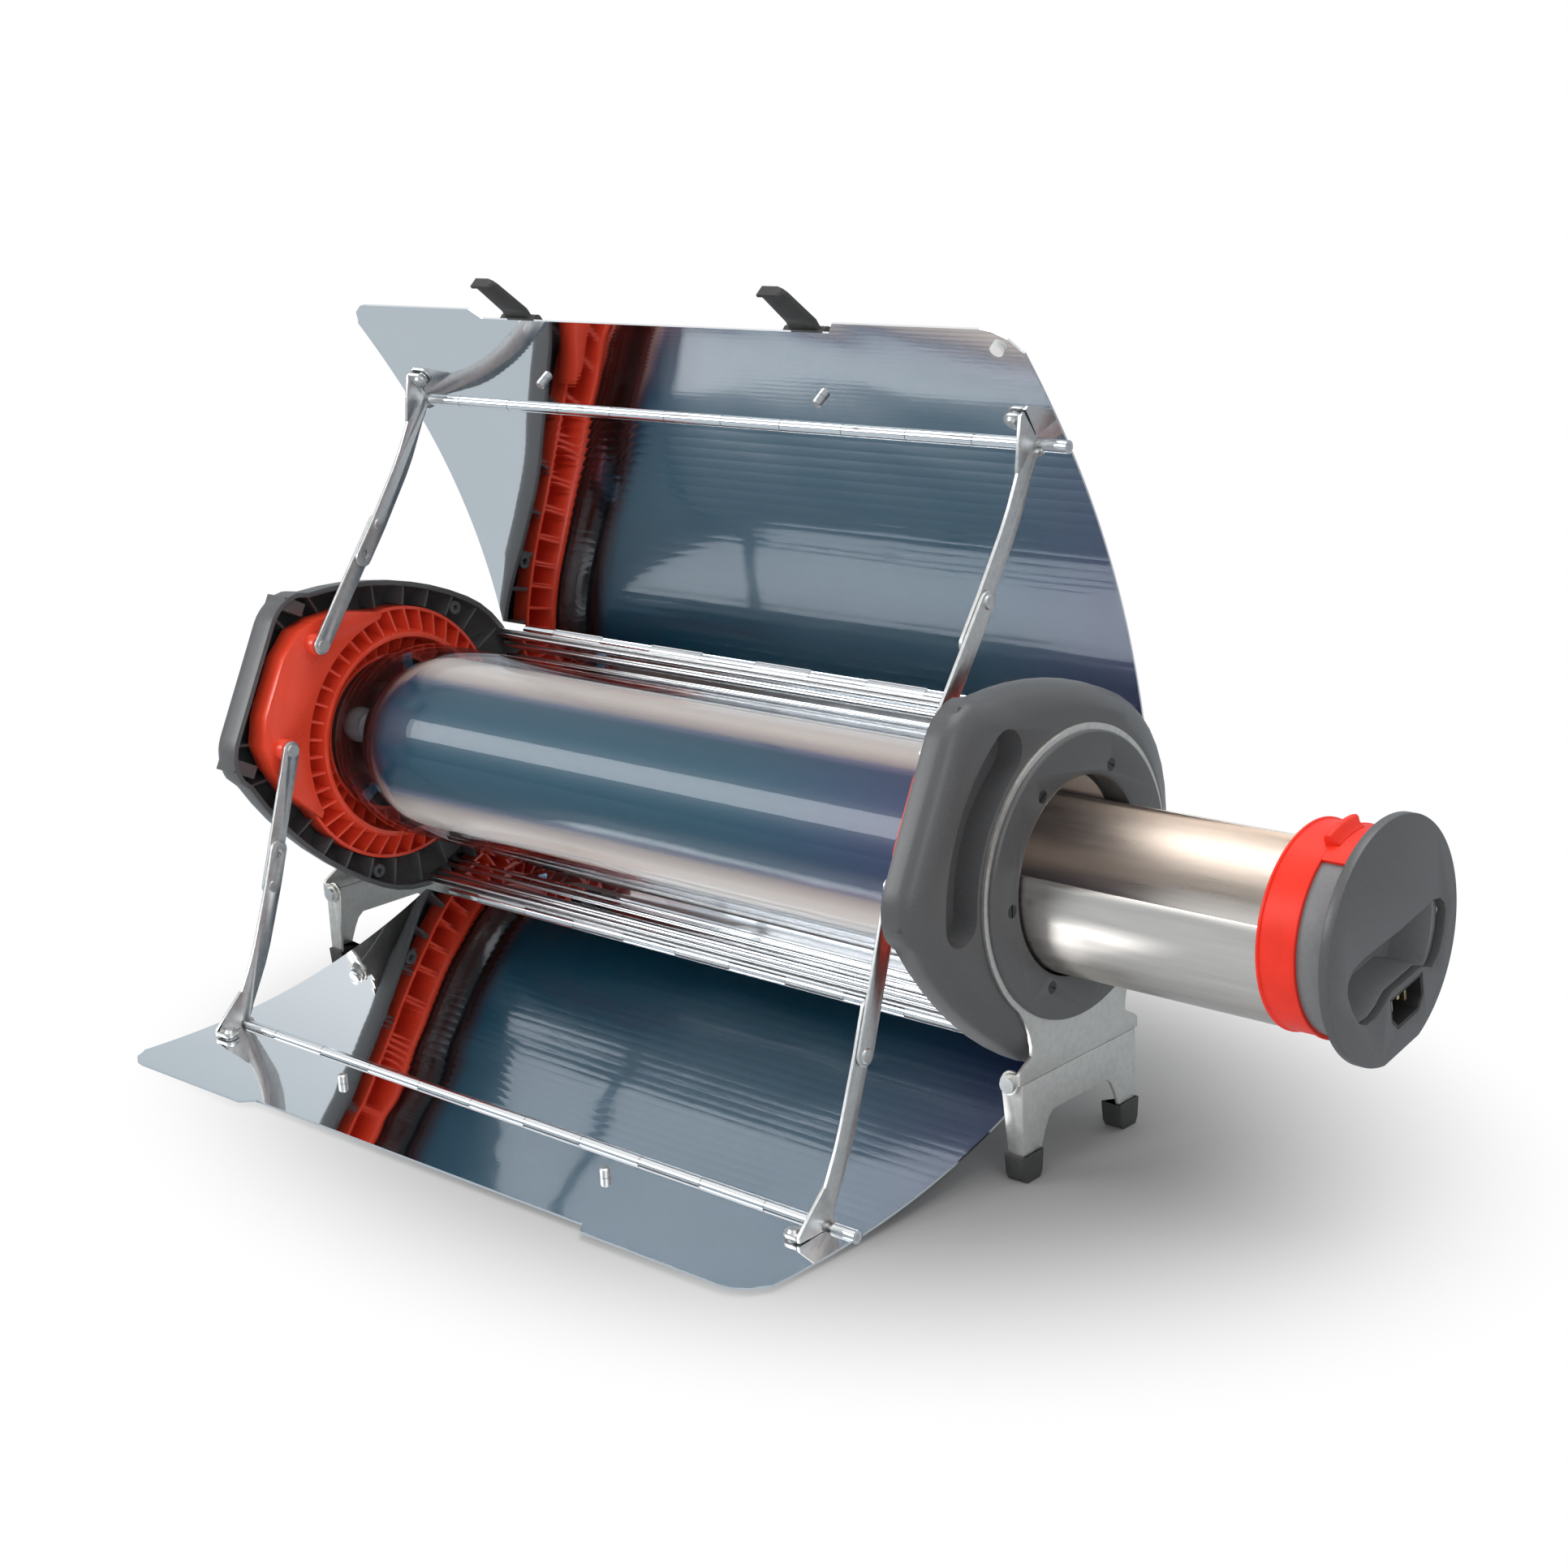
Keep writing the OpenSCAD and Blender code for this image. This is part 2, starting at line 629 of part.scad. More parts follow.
module link_screws() {
    for (s = [-1, 1]) on_edge(17, 0) translate([s * (link_x - bar_t / 2 - 6), 0, 0]) {
        translate([0, 0, -2.6]) cylinder(r = 1.6, h = 3.1, $fn = 36);
        translate([0, 0, -4.2]) cylinder(r1 = 2.6, r2 = 3.6, h = 1.6);
    }
}

// lower bar on the +X side: from the cap to the elbow
module strut() {
    difference() {
        union() {
            bar(strut_d, elbow_c, bar_x);
            xcyl(bar_x + bar_t, bar_x + bar_t + 1.2, 3.6, elbow_c);
        }
        xcyl(bar_x - 1, bar_x + 5, 2 + play, strut_d);
    }
}

module strut_screws() {
    cooker() color(alu) for (m = [0, 1]) mirror([m, 0, 0]) for (s = [-1, 1]) {
        xcyl(bar_x - 0.2, rim_x - 6, 2, [strut_d[0], s * strut_d[1]]);
        xcyl(bar_x - 2, bar_x - 0.2, 3.8, [strut_d[0], s * strut_d[1]]);
    }
}

module studs() {
    for (x = [-112, 100]) on_edge(22, 0) translate([x, 0, 0]) {
        translate([0, 0, -3.4]) cylinder(r = 2.8, h = 4.15);
        translate([0, 0, -4.2]) cylinder(r1 = 2.0, r2 = 2.8, h = 0.8);
    }
}

module upper_inner_panel() {
    cooker() color(mirror_c) inner_panel();
}

module upper_hinge_pin() {
    cooker() color(alu) hinge_pin();
}

module upper_outer_panel() {
    cooker() color(mirror_c) outer_panel();
}

module upper_link_left() {
    cooker() color(alu) mirror([1, 0, 0]) link();
}

module upper_link_right() {
    cooker() color(alu) link();
}

module upper_link_screws() {
    cooker() color(alu) link_screws();
}

module upper_studs() {
    cooker() color(alu) studs();
}

module upper_strut_left() {
    cooker() color(alu) mirror([1, 0, 0]) strut();
}

module upper_strut_right() {
    cooker() color(alu) strut();
}

module lower_inner_panel() {
    cooker() color(mirror_c) lower() inner_panel();
}

module lower_hinge_pin() {
    cooker() color(alu) lower() hinge_pin();
}

module lower_outer_panel() {
    cooker() color(mirror_c) lower() outer_panel();
}

module lower_link_left() {
    cooker() color(alu) lower() mirror([1, 0, 0]) link();
}

module lower_link_right() {
    cooker() color(alu) lower() link();
}

module lower_link_screws() {
    cooker() color(alu) lower() link_screws();
}

module lower_studs() {
    cooker() color(alu) lower() studs();
}

module lower_strut_left() {
    cooker() color(alu) lower() mirror([1, 0, 0]) strut();
}

module lower_strut_right() {
    cooker() color(alu) lower() strut();
}

// latches on the back of the upper outer sheet
// frame on the outer sheet: -Y along it, +Z to its back
module on_edge(d, h) {
    u = unit(hinge_b, edge_e);
    a = atan2(u[1], u[0]);
    p = on_outer(d, -h);
    translate([0, -p[0], p[1]]) rotate([-a, 0, 0]) children();
}

module latch_base(x) {
    w = norm(edge_e - hinge_b) - edge_recess;
    z = sheet_t + outer_bulge - 0.1;
    on_edge(0, 0) translate([x, -w, 0]) {
        translate([-14, 8, z]) cube([28, 12, 1.6]);
        for (s = [-1, 1]) translate([s * 12 - 2, 0, 0]) {
            translate([0, 4, 5.5]) rotate([0, 90, 0]) cylinder(r = 3, h = 4);
            translate([0, 4, z]) cube([4, 6, 5.5 - z + 3]);
            translate([0, 1.4, 3]) cube([4, 3, 2.5]);
        }
        for (s = [-6, 6]) translate([s, 15, z]) cylinder(r = 2.2, h = 2.6);
        translate([-13, 4, 5.5]) rotate([0, 90, 0]) cylinder(r = 1.2, h = 26, $fn = 36);
    }
}

// rubber strap on a cross pin, bent towards the mirror side past the edge
module latch_hook(x) {
    w = norm(edge_e - hinge_b) - edge_recess;
    on_edge(0, 0) translate([x, -w + 4, 5.5]) difference() {
        union() {
            xcyl(-9.7, 9.7, 3);
            intersection() {
                xex(-12, 12) polygon([[0, -1.8], [0, 1.4], [-7.2, 1.4], [-36, -6.9], [-35.1, -9.98],
                    [-34.6, -11.9], [-32.1, -11.2], [-32.6, -9], [-7.6, -1.8]]);
                translate([0, 0, -15]) linear_extrude(20) polygon([[-9.2, 1], [9.2, 1], [9.2, -8],
                    [8.2, -31], [7.2, -34], [4.4, -37], [-4.4, -37], [-7.2, -34], [-8.2, -31],
                    [-9.2, -8]]);
            }
        }
        xcyl(-11, 11, 1.2 + play, $fn = 36);
    }
}

module latch_bases() {
    cooker() color(black) {
        latch_base(-105);
        latch_base(111);
    }
}

module latch_hook_left() {
    cooker() color(black) latch_hook(-105);
}

module latch_hook_right() {
    cooker() color(black) latch_hook(111);
}

module edge_bumper() {
    w = norm(edge_e - hinge_b);
    cooker() color([0.9, 0.9, 0.88]) on_edge(0, 0) translate([panel_half - 14, -w + 12, -1.8])
        cylinder(r = 3.6, h = 2.2);
}

// stands, in the level frame of the tube axis
module stand_plate(face) {
    x0 = face + 0.2;
    difference() {
        union() {
            xcyl(x0, x0 + stand_t, ring_r, $fn = 144);
            xex(x0, x0 + stand_t) for (s = [-1, 1]) polygon([[0, -50], [s * 68, -30], [s * 60.4, -40.7],
                [s * 53, -53.5], [s * 46.6, -63.1], [s * 42, -71.9], [s * 40.2, -79], [s * 40.2, -84],
                [s * (foot_y + 0.2), -89], [s * (foot_y + 2), -91], [s * (foot_y + 2), seam_z],
                [0, seam_z]]);
            for (s = [-1, 1]) ear(face, s * (foot_y + 1.1), 1.8, 5.5);
        }
        xcyl(x0 - 1, x0 + stand_t + 1, hub_r + play, $fn = 144);
        for (s = [-1, 1]) translate([face - 4.8, s * (foot_y + 1.1) - 3, screw_z])
            rotate([-90, 0, 0]) cylinder(r = 2, h = 6, $fn = 36);
    }
}

// round lug across the leg screw
module ear(face, y, t, r) {
    translate([face - 4.8, y - t / 2, screw_z]) rotate([-90, 0, 0]) cylinder(r = r, h = t);
    translate([face - 4.8, y - t / 2, screw_z + 1]) cube([7, t, 5]);
}

module leg(face) {
    x0 = face + 0.2;
    px = face - 4.8;
    difference() {
        union() {
            xex(x0, x0 + stand_t) for (s = [-1, 1]) polygon([[0, seam_z - 0.4], [s * foot_y, seam_z - 0.4],
                [s * foot_y, sole + 10.5], [s * (foot_y - 14), sole + 10.5],
                [s * (foot_y - 16), sole + 16.5], [s * (foot_y - 19), sole + 23.5],
                [s * (foot_y - 22), sole + 29], [s * (foot_y - 26), sole + 32], [0, sole + 32]]);
            for (s = [-1, 1]) translate([0, s * (foot_y - 1) + 1, 0]) rotate([90, 0, 0]) linear_extrude(2)
                polygon([[x0 + 0.5, seam_z - 0.4], [x0 + 0.5, sole + 10.5], [face - 7, sole + 10.5],
                    [px - 6.4, screw_z - 1], [px, screw_z - 1]]);
            for (s = [-1, 1]) translate([px, s * (foot_y - 1) + 1, screw_z]) rotate([90, 0, 0])
                cylinder(r = 6.5, h = 2);
        }
        for (s = [-1, 1]) translate([px, s * (foot_y - 1) - 3, screw_z])
            rotate([-90, 0, 0]) cylinder(r = 2 + play, h = 6, $fn = 36);
        translate([px + 2.6, -60, seam_z - 0.4]) cube([8, 120, 20]);
    }
}

module feet(face) {
    for (s = [-1, 1]) difference() {
        translate([0, s * (foot_y - 7), 0]) xex(face - 9, face + 3.4)
            polygon([[-8.5, sole + 14.5], [8.5, sole + 14.5], [7.4, sole + 3.5], [5.4, sole],
                [-5.4, sole], [-7.4, sole + 3.5]]);
        xex(face + 0.2, face + 0.2 + stand_t) polygon([[s * foot_y, sole + 19.5],
            [s * foot_y, sole + 10.5], [s * (foot_y - 14), sole + 10.5],
            [s * (foot_y - 16), sole + 16.5], [s * (foot_y - 17), sole + 19.5]]);
        translate([face - 9.4, s * (foot_y - 1) - 1, sole + 10.5]) cube([9.6, 2, 10]);
        translate([face - 9.4, s * (foot_y - 8) - 6, sole + 10.5]) cube([9.6, 12, 10]);
    }
}

module leg_screws(face) {
    for (s = [-1, 1]) translate([face - 4.8, 0, screw_z]) {
        translate([0, s * (foot_y - 0.5) - 2.5, 0]) rotate([-90, 0, 0]) cylinder(r = 2, h = 5, $fn = 36);
        translate([0, s * (foot_y + 3) - 1, 0]) rotate([-90, 0, 0]) cylinder(r = 4.2, h = 2, $fn = 48);
    }
}

module stand_plate_right() {
    place() color(alu) stand_plate(mouth_face);
}

module leg_right() {
    place() color(alu) leg(mouth_face);
}

module feet_right() {
    place() color(black) feet(mouth_face);
}

module leg_screws_right() {
    place() color(alu) leg_screws(mouth_face);
}

module stand_plate_left() {
    place() color(alu) mirror([1, 0, 0]) stand_plate(rear_face);
}

module leg_left() {
    place() color(alu) mirror([1, 0, 0]) leg(rear_face);
}

module feet_left() {
    place() color(black) mirror([1, 0, 0]) feet(rear_face);
}

module leg_screws_left() {
    place() color(alu) mirror([1, 0, 0]) leg_screws(rear_face);
}

// cooking tray; its own up is +Z before the roll
module tray_trough() {
    tray_frame() color([0.75, 0.72, 0.68]) difference() {
        union() {
            xring(plug_x - 37 - tray_len, plug_x - 20, tray_r - tray_t, tray_r);
            xcyl(plug_x - 38 - tray_len, plug_x - 37 - tray_len + tray_t, tray_r);
        }
        translate([plug_x - 60 - tray_len, -60, tray_r * sin(24)]) cube([tray_len + 23, 120, 60]);
    }
}

module tray_band() {
    r = tray_r + 1.1;
    tray_frame() color(red) difference() {
        union() {
            xcyl(plug_x - 37, plug_x - 17, r);
            xcyl(plug_x - 37, plug_x - 35, r + 0.2);
            intersection() {
                xcyl(plug_x - 20, plug_x - 1.5, r);
                xex(plug_x - 21, plug_x - 1) for (s = [-1, 1])
                    polygon([[0, 0], [-26, s * (r + 9)], [26, s * (r + 9)]]);
            }
        }
        xcyl(plug_x - 40, plug_x - 20, tray_r);
        xcyl(plug_x - 21, plug_x, tray_r - tray_t);
    }
}

module tray_plug() {
    tray_frame() color([0.40, 0.41, 0.42]) difference() {
        xcyl(plug_x - 32, plug_x, tray_r - tray_t);
        xcyl(plug_x - 33, plug_x - 24, tray_r - tray_t - 3);
        intersection() {
            grip_pocket(plug_x - 20, plug_x + 1);
            xcyl(plug_x - 21, plug_x + 2, tray_r - 5.6);
        }
        xex(plug_x - 19.5, plug_x + 1) inlet_outline(1.6);
    }
}

module grip_pocket(x0, x1) {
    xex(x0, x1) polygon([[-42.8, -6.6], [-41.5, -1.5], [-37, 2.6], [-27, 4], [5.9, 2.7], [38, 3.6],
        [43.5, 1.8], [47, -2], [47.9, -6.5], [45.5, -15], [40.5, -24], [36, -28], [32, -29],
        [27.5, -26.5], [22, -24], [-5, -24], [-12.9, -27.9], [-20, -29.6], [-29.1, -28.8],
        [-35, -25], [-40, -16]]);
}

module inlet_outline(d) {
    polygon([[-5.5 - d, -28.4 + d], [21.5 + d, -28.4 + d], [21.5 + d, -38 - d / 2],
        [17 + d / 2, -43.3 - d], [-1 - d / 2, -43.3 - d], [-5.5 - d, -38 - d / 2]]);
}

module tray_handle() {
    tray_frame() color(charcoal) difference() {
        xcyl(plug_x, plug_x + disc_t, disc_r, $fn = 144);
        translate([plug_x - 1, -40, -disc_r - 10]) cube([disc_t + 2, 80, 12.2]);
        grip_pocket(plug_x - 1, plug_x + disc_t + 1);
        xex(plug_x - 1, plug_x + disc_t + 1) inlet_outline(1.6);
    }
}

module power_inlet() {
    tray_frame() color(black) difference() {
        xex(plug_x - 19.5, plug_x + disc_t - 0.6) inlet_outline(1.6);
        xex(plug_x - 15, plug_x + disc_t + 1) inlet_outline(0);
        for (p = inlet_pin_pos()) xex(plug_x - 20, plug_x) translate(p) square([2, 5], center = true);
    }
}

function inlet_pin_pos() = [[1.5, -36], [14.5, -36], [8, -32.5]];

module inlet_pins() {
    tray_frame() color(alu) for (p = inlet_pin_pos())
        xex(plug_x - 19, plug_x + disc_t - 5) translate(p) square([2, 5], center = true);
}

stand_plate_right();
leg_right();
feet_right();
leg_screws_right();
stand_plate_left();
leg_left();
feet_left();
leg_screws_left();
cap_mouth();
cap_rear();
tube_holder_right();
tube_holder_left();
dome_cushion();
mouth_ring();
mouth_screws();
rear_cover();
rear_screws();
outer_glass();
inner_glass();
tip_cap();
getter_clips();
mouth_seal();
rear_reflector();
body_rail_upper();
body_rail_lower();
strut_screws();
upper_inner_panel();
upper_hinge_pin();
upper_outer_panel();
upper_link_left();
upper_link_right();
upper_link_screws();
upper_studs();
edge_bumper();
latch_bases();
latch_hook_left();
latch_hook_right();
upper_strut_left();
upper_strut_right();
lower_inner_panel();
lower_hinge_pin();
lower_outer_panel();
lower_link_left();
lower_link_right();
lower_link_screws();
lower_studs();
lower_strut_left();
lower_strut_right();
tray_trough();
tray_band();
tray_plug();
tray_handle();
power_inlet();
inlet_pins();
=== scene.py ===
# %% [markdown]
# # A tube solar oven, dressed for the camera
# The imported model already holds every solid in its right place. This lesson loads it as
# a fixed frame, gives each part the finish of the real one, rounds the edges that catch
# the light, and adds the few pieces whose look needs finer shapes than the solids have.

# %% Load the frame
import json
import math
import bpy
import bmesh
from mathutils import Matrix, Vector


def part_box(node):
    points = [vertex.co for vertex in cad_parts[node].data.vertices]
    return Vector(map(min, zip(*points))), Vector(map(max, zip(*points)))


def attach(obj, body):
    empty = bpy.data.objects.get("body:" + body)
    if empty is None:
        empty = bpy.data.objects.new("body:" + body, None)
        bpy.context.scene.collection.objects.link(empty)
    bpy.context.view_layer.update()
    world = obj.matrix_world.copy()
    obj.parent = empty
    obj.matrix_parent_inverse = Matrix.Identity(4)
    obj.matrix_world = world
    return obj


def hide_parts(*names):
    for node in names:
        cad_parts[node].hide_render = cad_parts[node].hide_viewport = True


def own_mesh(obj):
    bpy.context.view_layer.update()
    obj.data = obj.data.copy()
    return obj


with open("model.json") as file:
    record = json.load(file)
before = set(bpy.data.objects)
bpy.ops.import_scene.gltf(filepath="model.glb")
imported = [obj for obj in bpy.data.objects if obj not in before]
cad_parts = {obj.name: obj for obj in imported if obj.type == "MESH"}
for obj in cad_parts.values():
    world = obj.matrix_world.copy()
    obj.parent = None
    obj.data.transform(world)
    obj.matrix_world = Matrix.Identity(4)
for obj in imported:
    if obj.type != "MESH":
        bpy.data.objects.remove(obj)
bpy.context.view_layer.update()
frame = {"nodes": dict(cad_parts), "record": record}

nodes = frame["nodes"]

# %% [markdown]
# ## Where things are
# Everything is placed from one point on the glass tube's axis, midway along the sheets.
# The axis comes from the box of the outer glass, whose open mouth lies a known way to the
# right of that point. The cooker is tilted in its stands, so a point is given as x along
# the tube, s forward and t up in the cooker's own frame.

# %% The tube's axis and the tilted frame
MM = 0.001
TILT = math.radians(26.88)
MOUTH_RIGHT = 257
glass_low, glass_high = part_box("outer_glass")
AXIS_Y = (glass_low.y + glass_high.y) / 2
AXIS_Z = (glass_low.z + glass_high.z) / 2
AXIS_X = glass_high.x - MOUTH_RIGHT * MM


def spot(x, s, t):
    """A point of the cooker, in metres: x along the tube, s forward, t up, in mm."""
    y = -s * math.cos(TILT) + t * math.sin(TILT)
    z = s * math.sin(TILT) + t * math.cos(TILT)
    return Vector((AXIS_X + x * MM, AXIS_Y + y * MM, AXIS_Z + z * MM))


print("tube axis at", round(AXIS_X, 4), round(AXIS_Y, 4), round(AXIS_Z, 4))

# %% [markdown]
# ## Camera
# The photograph is a square frame taken from the front right, a little above the oven.
# The camera was worked out from the tube, the hinge lines and the disc, and leans by a
# couple of degrees, as a hand-held one does. Its matrix is built from three arms, because
# the lean then turns about the line of sight.

# %% Set up the camera
PHOTO_SIDE = 1932
FOCAL_PX = 3111.7
SENSOR_WIDTH = 36
CAM_PLACE = Vector((AXIS_X + 0.9756, AXIS_Y - 0.9794, AXIS_Z + 0.3860))
CAM_TURN = math.radians(42.60)
CAM_DOWN = math.radians(15.51)
CAM_ROLL = math.radians(-2.53)

scene = bpy.context.scene
camera_data = bpy.data.cameras.new("camera")
camera_data.sensor_fit = "AUTO"
camera_data.sensor_width = SENSOR_WIDTH
camera_data.lens = FOCAL_PX / PHOTO_SIDE * SENSOR_WIDTH
camera_data.clip_start = 0.02
camera = bpy.data.objects.new("camera", camera_data)
scene.collection.objects.link(camera)
ahead = Vector((-math.sin(CAM_TURN) * math.cos(CAM_DOWN),
                math.cos(CAM_TURN) * math.cos(CAM_DOWN), -math.sin(CAM_DOWN)))
level_right = Vector((math.cos(CAM_TURN), math.sin(CAM_TURN), 0))
level_up = level_right.cross(ahead)
right = math.cos(CAM_ROLL) * level_right + math.sin(CAM_ROLL) * level_up
up = -math.sin(CAM_ROLL) * level_right + math.cos(CAM_ROLL) * level_up
turn = Matrix((right, up, -ahead)).transposed().to_4x4()
camera.matrix_world = Matrix.Translation(CAM_PLACE) @ turn
scene.camera = camera
print("camera lens", round(camera_data.lens, 2))

# %% [markdown]
# ## Node trees
# Every look below is a small tree of nodes, so the steps that repeat come first: adding a
# node with its settings, linking two nodes, stretching a value from one range to another,
# a colour ramp, and a mix of two shaders.

# %% Helpers for node trees
def add_node(tree, kind, values=None, operation=None):
    """Add a node, and set its operation and its unlinked inputs."""
    node = tree.nodes.new(kind)
    if operation:
        node.operation = operation
    for socket, value in (values or {}).items():
        node.inputs[socket].default_value = value
    return node


def link(tree, source, output, target, socket):
    tree.links.new(source.outputs[output], target.inputs[socket])


def spread(tree, value, low, high, to_low=0, to_high=1, smooth=False):
    """Stretch a value from low..high to to_low..to_high, held at both ends."""
    node = add_node(tree, "ShaderNodeMapRange", {"From Min": low, "From Max": high,
                                                 "To Min": to_low, "To Max": to_high})
    if smooth:
        node.interpolation_type = "SMOOTHSTEP"
    tree.links.new(value, node.inputs["Value"])
    return node.outputs["Result"]


def colour_ramp(tree, value, stops):
    """A ramp that turns a value into a colour, from (place, colour) pairs."""
    ramp = tree.nodes.new("ShaderNodeValToRGB")
    elements = ramp.color_ramp.elements
    while len(elements) < len(stops):
        elements.new(0.5)
    for element, (place, colour) in zip(elements, stops):
        element.position = place
        element.color = (*colour, 1)
    tree.links.new(value, ramp.inputs["Fac"])
    return ramp.outputs["Color"]


def mixed(tree, share, first, second):
    """The first shader where share is 0, and the second where it is 1."""
    node = tree.nodes.new("ShaderNodeMixShader")
    tree.links.new(share, node.inputs[0])
    link(tree, first, 0, node, 1)
    link(tree, second, 0, node, 2)
    return node


def ray_kinds(tree):
    """Light Path's camera and transmission rays in one value, and its glossy rays."""
    path = tree.nodes.new("ShaderNodeLightPath")
    straight = add_node(tree, "ShaderNodeMath", operation="MAXIMUM")
    link(tree, path, "Is Camera Ray", straight, 0)
    link(tree, path, "Is Transmission Ray", straight, 1)
    return straight.outputs[0], path.outputs["Is Glossy Ray"]


# %% [markdown]
# ## Light
# Polished sheets show whatever is around them, so the surroundings matter as much as the
# lamps. The studio is plain white to the eye. The sheets and the tube pick up a room that
# is grey at floor height and brighter overhead, as real walls are lit less than a backdrop.
# The light that falls on matt surfaces comes from a third, even level.

# %% World
LIGHT_LEVEL = 0.62
ROOM_STOPS = [(0.0, (0.40, 0.43, 0.45)), (0.52, (0.42, 0.47, 0.51)), (0.64, (0.50, 0.56, 0.60)),
              (0.76, (0.72, 0.76, 0.79)), (0.90, (0.98, 0.98, 0.98))]

scene.view_settings.view_transform = "Standard"
world = bpy.data.worlds.new("studio")
scene.world = world
world.use_nodes = True
tree = world.node_tree
tree.nodes.clear()
seen, reflected = ray_kinds(tree)
lighting = add_node(tree, "ShaderNodeBackground", {"Color": (1, 1, 1, 1),
                                                   "Strength": LIGHT_LEVEL})
white = add_node(tree, "ShaderNodeBackground", {"Color": (1, 1, 1, 1), "Strength": 1.0})
room = add_node(tree, "ShaderNodeBackground", {"Strength": 1.0})
direction = tree.nodes.new("ShaderNodeTexCoord")
split = tree.nodes.new("ShaderNodeSeparateXYZ")
link(tree, direction, "Generated", split, 0)
height = spread(tree, split.outputs["Z"], -1, 1)
tree.links.new(colour_ramp(tree, height, ROOM_STOPS), room.inputs["Color"])
around = mixed(tree, seen, mixed(tree, reflected, lighting, room), white)
out = tree.nodes.new("ShaderNodeOutputWorld")
link(tree, around, 0, out, 0)
print("room colours", len(ROOM_STOPS))

# %% [markdown]
# Three area lamps shape the oven. The broad one overhead lights the caps and casts the soft
# shadow. The long one at the front left is what the dark tube mirrors as its bright line,
# so it stands where the tube's curve turns the camera's line of sight. The weak one at the
# front right lifts the disc and the stand.


# %% Lamps
def soft_lamp(name, place, aim, wide, power, tall=None):
    data = bpy.data.lights.new(name, "AREA")
    data.energy = power
    data.size = wide
    if tall:
        data.shape = "RECTANGLE"
        data.size_y = tall
    lamp = bpy.data.objects.new(name, data)
    scene.collection.objects.link(lamp)
    lamp.location = place
    lamp.rotation_euler = (Vector(aim) - Vector(place)).to_track_quat("-Z", "Y").to_euler()
    print("lamp", name, power, "W")


MIDDLE = (AXIS_X, AXIS_Y, AXIS_Z)
FAR_LEFT = -2.15
soft_lamp("overhead", (0.2, 0.25, 2.4), MIDDLE, 2.4, 32, tall=1.5)
soft_lamp("front_left", (FAR_LEFT, -2.1, 1.35), (FAR_LEFT, AXIS_Y, AXIS_Z), 2.5, 46, tall=0.95)
soft_lamp("front_right", (2.2, -1.2, 1.2), MIDDLE, 1.0, 8)

# %% [markdown]
# ## Floor
# The floor is one wide sheet with three looks. The eye sees a matt grey patch under the oven: a
# painted shadow, darker than the white floor, which also takes the real soft shadow and fades to
# plain white, so no horizon shows. Polished parts mirror a dim grey floor, and the light that
# bounces off it is that of a white one.

# %% Floor
# The near grey is a painted shadow: the floor is darker round the oven and fades to white over
# the reach given below.
PAINTED_SHADOW_GREY = (0.36, 0.36, 0.36, 1)
BOUNCE_WHITE = (0.80, 0.80, 0.80, 1)
MIRRORED_GREY = (0.36, 0.40, 0.43, 1)
MIRRORED_GLOW = 0.06
FADE_FROM = 0.20
FADE_TO = 0.45
FADE_CENTRE = (-0.02, -0.067, 0)
FADE_OVAL = (1, 1.33, 1)

floor_mesh = bpy.data.meshes.new("floor")
bm = bmesh.new()
bmesh.ops.create_grid(bm, x_segments=1, y_segments=1, size=30)
bm.to_mesh(floor_mesh)
bm.free()
floor = bpy.data.objects.new("floor", floor_mesh)
scene.collection.objects.link(floor)
floor_paint = bpy.data.materials.new("floor_white")
floor_paint.use_nodes = True
tree = floor_paint.node_tree
tree.nodes.clear()
seen, reflected = ray_kinds(tree)
painted_shadow_look = add_node(tree, "ShaderNodeBsdfDiffuse", {"Color": PAINTED_SHADOW_GREY})
far_look = add_node(tree, "ShaderNodeEmission", {"Strength": 1.0})
bounce_look = add_node(tree, "ShaderNodeBsdfDiffuse", {"Color": BOUNCE_WHITE})
mirrored_matt = add_node(tree, "ShaderNodeBsdfDiffuse", {"Color": MIRRORED_GREY})
mirrored_glow = add_node(tree, "ShaderNodeEmission", {"Color": (1, 1, 1, 1),
                                                      "Strength": MIRRORED_GLOW})
mirrored_look = tree.nodes.new("ShaderNodeAddShader")
link(tree, mirrored_matt, 0, mirrored_look, 0)
link(tree, mirrored_glow, 0, mirrored_look, 1)
place = tree.nodes.new("ShaderNodeTexCoord")
centred = add_node(tree, "ShaderNodeMapping", {"Location": FADE_CENTRE, "Scale": FADE_OVAL})
link(tree, place, "Object", centred, "Vector")
reach = add_node(tree, "ShaderNodeVectorMath", operation="LENGTH")
link(tree, centred, 0, reach, 0)
# Painted shadow: the grey near the oven gives way to white with distance.
painted_shadow_fade = spread(tree, reach.outputs["Value"], FADE_FROM, FADE_TO, smooth=True)
eye_look = mixed(tree, painted_shadow_fade, painted_shadow_look, far_look)
other_look = mixed(tree, reflected, bounce_look, mirrored_look)
out = tree.nodes.new("ShaderNodeOutputMaterial")
link(tree, mixed(tree, seen, other_look, eye_look), 0, out, 0)
floor_mesh.materials.append(floor_paint)
print("floor fades from", FADE_FROM, "to", FADE_TO, "m")

# %% [markdown]
# ## Finishes
# Each finish is one node tree on the Principled shader. No real surface is even, so a
# pattern of noise varies its colour and its roughness a little, and a finer one gives the
# grain of a moulded or brushed surface as a bump. The patterns follow Object coordinates,
# so they stay on the part when it moves, and a stretch draws them out into brush lines.

# %% A helper for finishes
COAT_ROUGHNESS = 0.12


def new_finish(name):
    """A material with its node tree and its Principled shader."""
    material = bpy.data.materials.new(name)
    material.use_nodes = True
    tree = material.node_tree
    return material, tree, tree.nodes["Principled BSDF"]


